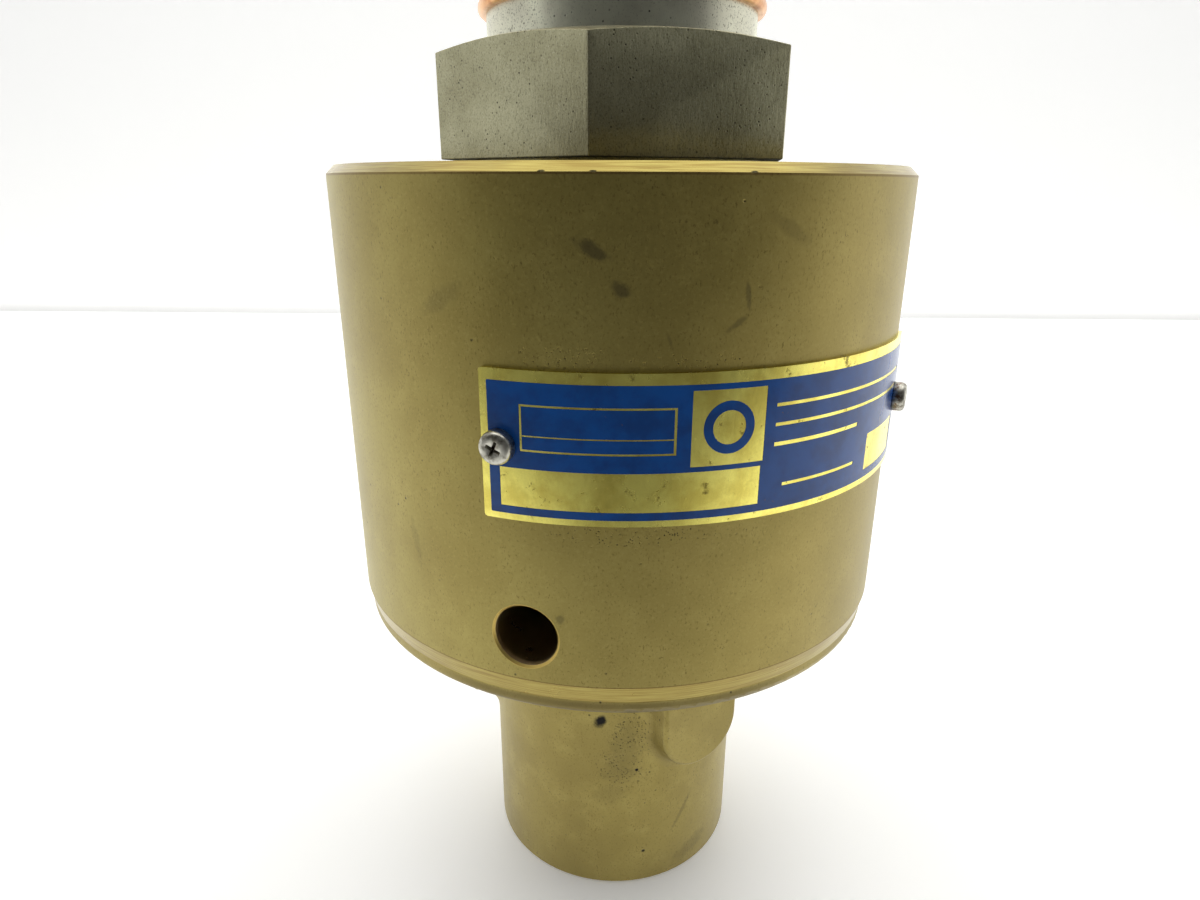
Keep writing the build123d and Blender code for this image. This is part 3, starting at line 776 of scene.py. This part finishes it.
def makeInletThread():
    look = {key: value * mm for key, value in inletLook.items()}
    ring = turnOutline("inletThread", [
        (look["skin"], look["start"]), (look["minor"], look["start"] + look["edge"]),
        (look["minor"], look["end"] - look["edge"]), (look["skin"], look["end"])])
    root, top = look["minor"] - 0.1 * mm, look["end"] + mm
    tap = threadSolid("tap", look["bore"], root, -mm, top, look["pitch"])
    cutWith(ring, tap)
    tidySurface(ring)
    return ring


finishPiece(makeInletThread(), castBrass, "housing", "cast_brass")
print("inlet thread")


# Inner pieces, seen through the bores and between hexagon and housing

innerLooks = {                                         # colour, darker colour, roughness, metallic
    "bearing": ((176, 176, 176), (120, 120, 122), 0.2, 1.0),
    "rollers": ((200, 200, 200), (150, 150, 150), 0.12, 1.0),
    "cage": ((176, 146, 74), (120, 96, 46), 0.3, 1.0),
    "spacer": ((146, 146, 146), (96, 96, 98), 0.35, 1.0),
    "spring_steel": ((92, 92, 98), (52, 52, 56), 0.3, 1.0),
    "rubber": ((26, 26, 26), (14, 14, 14), 0.55, 0.0),
    "hard_ring": ((64, 64, 68), (42, 42, 46), 0.12, 0.0),
    "carbon": ((30, 30, 30), (18, 18, 18), 0.4, 0.0),
    "carrier_steel": ((170, 170, 168), (120, 120, 118), 0.28, 1.0),
}
innerSizes = {"clouds": 4, "lines": 0.3, "relief": 0.01}


def innerFinish(slot, main, dark, roughness, metallic):
    f = Finish(slot + "Finish", metallic=metallic)
    clouds = f.noise(innerSizes["clouds"], 4, 0.6)
    lines = f.noise(innerSizes["lines"], 3, 0.6, stretch=(0.1, 0.1, 1))
    shade = f.mix(f.ramp(clouds, 0.4, 0.7), colour(*main), colour(*dark))
    f.use(shade, f.timesPlus(lines, 0.15, roughness), f.bump(lines, innerSizes["relief"], 0.5))
    return f.material


innerFinishes = {slot: innerFinish(slot, *look) for slot, look in innerLooks.items()}
for part in frame["record"]["subparts"]:
    if part["material_slot"] in innerFinishes:
        paint(part["node"], innerFinishes[part["material_slot"]])
print("inner pieces")


# Seal spring: round wire, coiled between the seat and top of the spring part

springLook = {                                         # millimetres
    "wire": 0.96, "inset": 1.0, "radius": 20.0, "turns": 3, "steps": 64, "wireSides": 16,
}


def makeSealSpring():
    look = springLook
    seat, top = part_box("seal_spring")[0].z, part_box("seal_spring")[1].z
    inset = look["inset"] * mm                         # from the coil's ends to the wire's middle
    startFresh()
    bpy.ops.mesh.primitive_circle_add(vertices=look["wireSides"], radius=look["wire"] * mm,
                                      location=(look["radius"] * mm, 0, seat + inset),
                                      rotation=(math.radians(90), 0, 0))
    spring = newest("sealSpring")
    coil = spring.modifiers.new("coil", "SCREW")
    coil.steps = coil.render_steps = look["steps"]
    coil.iterations = look["turns"]
    coil.screw_offset = (top - seat - 2 * inset) / look["turns"]
    bpy.ops.object.modifier_apply(modifier=coil.name)
    editAll(spring)
    bpy.ops.mesh.fill_holes(sides=look["wireSides"])   # the wire's two ends
    bpy.ops.object.mode_set(mode="OBJECT")
    tidySurface(spring)
    return spring, seat, top


sealSpring, springSeat, springTop = makeSealSpring()
finishPiece(sealSpring, innerFinishes["spring_steel"], "housing", "spring_steel", "seal_spring")
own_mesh(sealSpring)
print("seal spring")


# Studio: pale floor and wall, soft light, camera

studioLook = {                                         # metres; pairs of glow are for floor and wall
    "floor": (246, 246, 244), "floorWide": 3.0, "wallBack": 0.70, "wallHigh": 1.6, "floorRoughness": 0.35,
    "glow": (0.2, 0.36), "unseenGlow": (0.4, 0.88),    # to the camera, and in reflections
    "glowRise": (0.001, 0.01), "floorGap": 0.00002,    # heights where the wall's glow begins and is full
    "paintedFloorShadow": (40, 40, 40), "darkest": 0.1,         # painted shadow on the floor in front, seen only in reflections
    "darkFrom": -0.30, "darkTo": -0.17,
    "shadeAt": (0.02, -0.28), "shadeFrom": 0.05, "shadeTo": 0.2, "shade": 0.15,
    "white": 1.0, "dim": 0.075, "world": 1.3,          # the sky is dim only in front
    "frontAzimuth": 10, "frontUp": 0.1, "frontLow": 0.2, "frontHigh": 0.42, "rightLift": 0.2,
    "lampPlace": (0, 0.15, 0.9), "lampTarget": (0, 0, 0.1), "lampSize": (1.2, 1.0), "lampPower": 4,
    "cameraPlace": (0, -0.14655, 0.13641), "lens": 23.07, "down": 19.087, "turn": 1.312, "roll": 0.229,
}


def makeWorld():
    look = studioLook
    world = scene.world or bpy.data.worlds.new("studio")
    scene.world = world
    world.use_nodes = True
    world.node_tree.nodes.clear()
    sky = Nodes(world.node_tree)
    direction = sky.node("TexCoord").outputs["Generated"]
    turn = math.radians(look["frontAzimuth"])
    ahead = Vector((math.sin(turn), -math.cos(turn), look["frontUp"])).normalized()
    front = sky.node("VectorMath", {0: direction, 1: ahead}, operation="DOT_PRODUCT").outputs["Value"]
    level = sky.ramp(front, look["frontLow"], look["frontHigh"], look["white"], look["dim"])
    right = sky.node("SeparateXYZ", {0: direction}).outputs["X"]
    level = sky.times(level, sky.timesPlus(right, look["rightLift"], 1.0))
    seen = sky.node("LightPath").outputs["Is Camera Ray"]
    strength = sky.times(sky.blendValue(seen, level, look["white"]), look["world"])
    background = sky.node("Background", {"Strength": strength})
    sky.node("OutputWorld", {0: background.outputs[0]})


def makeStage():
    look = studioLook
    wide = look["floorWide"]
    startFresh()
    bpy.ops.mesh.primitive_plane_add(size=1, location=(0, look["wallBack"] - wide / 2, -look["floorGap"]))
    bpy.context.object.scale = (wide, wide, 1)
    floor = newest("floor")
    pick(floor, "EDGE", lambda a, b: min(a.y, b.y) > look["wallBack"] - mm)
    bpy.ops.mesh.extrude_region_move(TRANSFORM_OT_translate={"value": (0, 0, look["wallHigh"])})
    bpy.ops.object.mode_set(mode="OBJECT")
    pale = Finish("floorFinish", look, metallic=0.0, Roughness=look["floorRoughness"])
    seen = pale.node("LightPath").outputs["Is Camera Ray"]
    # painted shadow on the floor, for reflections only: dark in front, and a round painted shadow near
    # shadeAt
    lit = pale.ramp(pale.y, look["darkFrom"], look["darkTo"], look["darkest"])
    across = pale.minus(pale.x, look["shadeAt"][0])
    along = pale.minus(pale.y, look["shadeAt"][1])
    shade = pale.ramp(pale.length(across, along), look["shadeFrom"], look["shadeTo"], look["shade"])
    lit = pale.larger(seen, pale.math("MINIMUM", lit, shade))
    pale.use(pale.mix(lit, pale.tint("paintedFloorShadow"), pale.tint("floor")))
    pale.shader.inputs["Emission Color"].default_value = (1, 1, 1, 1)
    glow = pale.blendValue(seen, pale.ramp(pale.z, *look["glowRise"], *look["unseenGlow"]),
                           pale.ramp(pale.z, *look["glowRise"], *look["glow"]))
    pale.tree.links.new(pale.times(lit, glow), pale.shader.inputs["Emission Strength"])
    floor.data.materials.append(pale.material)


def addSoftLight():
    look = studioLook
    lamp = bpy.data.lights.new("ceiling", "AREA")
    lamp.shape = "RECTANGLE"
    lamp.size, lamp.size_y = look["lampSize"]
    lamp.energy = look["lampPower"]
    light = bpy.data.objects.new("ceiling", lamp)
    light.location = look["lampPlace"]
    aim = Vector(look["lampTarget"]) - Vector(look["lampPlace"])
    light.rotation_euler = aim.to_track_quat("-Z", "Y").to_euler()
    scene.collection.objects.link(light)


def makeCamera():
    look = studioLook
    camera = bpy.data.objects.new("camera", bpy.data.cameras.new("camera"))
    camera.data.lens = look["lens"]
    camera.data.clip_start = 0.01
    scene.collection.objects.link(camera)
    tilt = Matrix.Rotation(math.radians(90 - look["down"]), 4, "X")
    turn = Matrix.Rotation(math.radians(look["turn"]), 4, "Z")
    roll = Matrix.Rotation(math.radians(look["roll"]), 4, "Z")
    camera.matrix_world = Matrix.Translation(look["cameraPlace"]) @ turn @ tilt @ roll
    scene.camera = camera


makeWorld()
makeStage()
addSoftLight()
makeCamera()
scene.view_settings.view_transform = "Standard"
print("studio")
